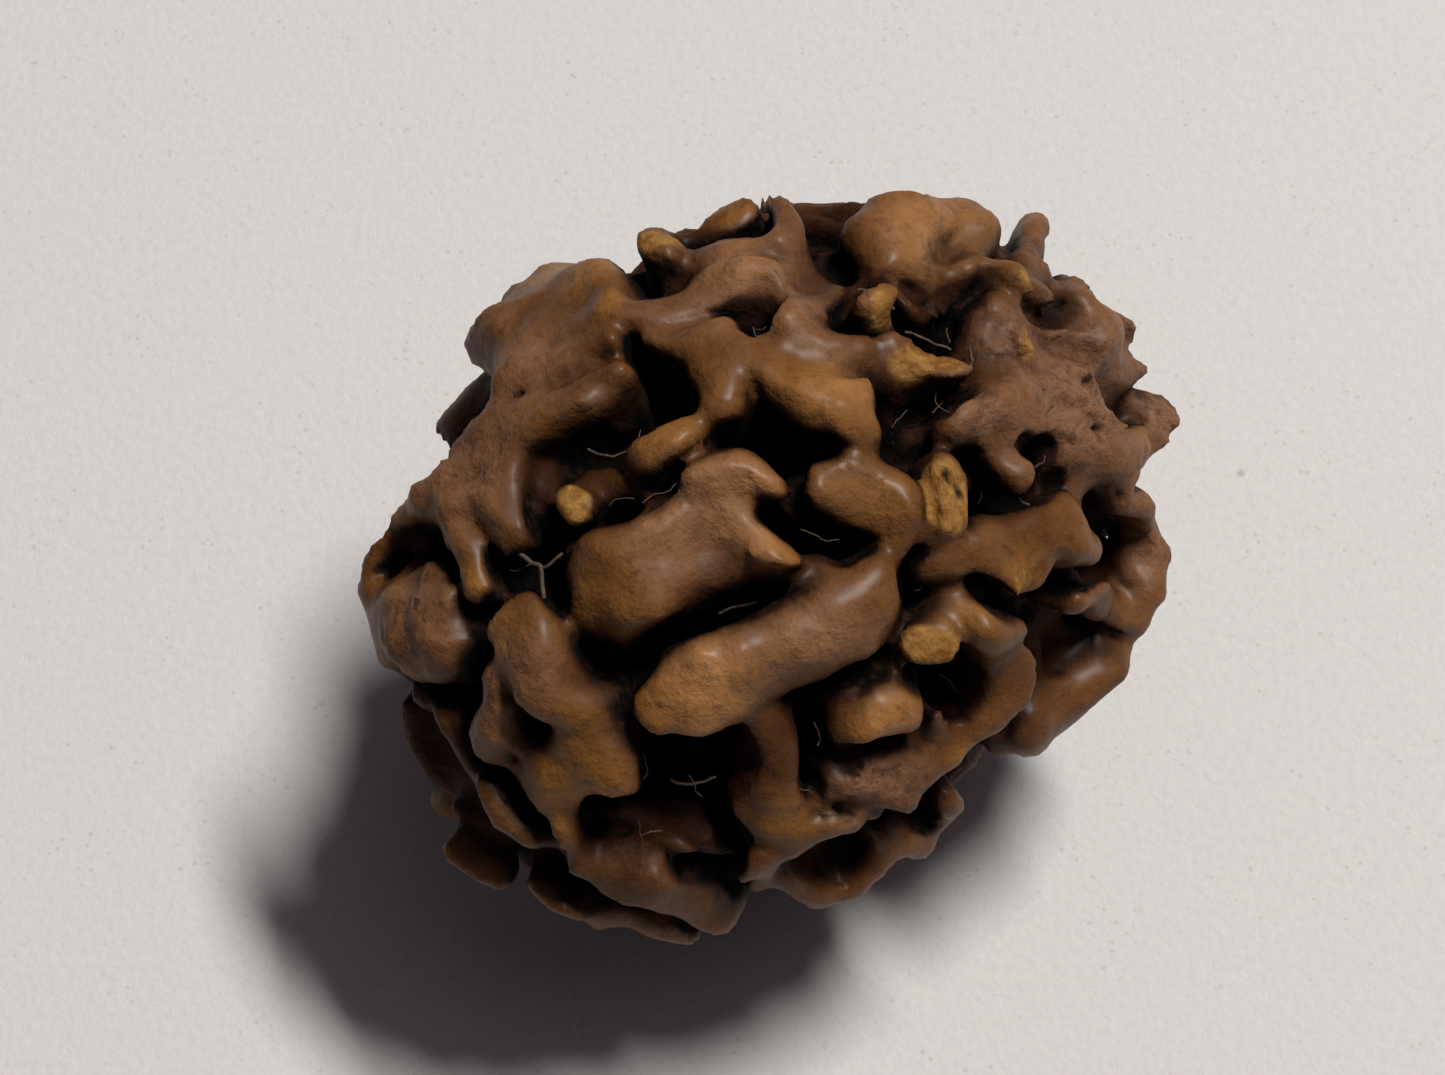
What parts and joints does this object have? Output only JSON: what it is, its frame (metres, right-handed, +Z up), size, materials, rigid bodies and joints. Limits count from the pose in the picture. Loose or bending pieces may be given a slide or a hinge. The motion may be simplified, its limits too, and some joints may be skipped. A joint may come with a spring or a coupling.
{
  "type": "rudraksha seed",
  "caption": "Egg-shaped woody seed stone with a deep labyrinth of rounded ridges, seams and stubs, standing on low tubercles.",
  "frame": {"origin": "centre of the bounding box's underside, on the surface that the seed stands on", "axes": "+Z up, -Y towards the viewer of the ridged upper front, +X to the viewer's right"},
  "size_m": [0.0212, 0.0208, 0.0188],
  "materials": {
    "shell": "waxy, semi-matt, dusty in the hollows"
  },
  "bodies": {
    "root": {"seed": "shell"}
  },
  "joints": []
}
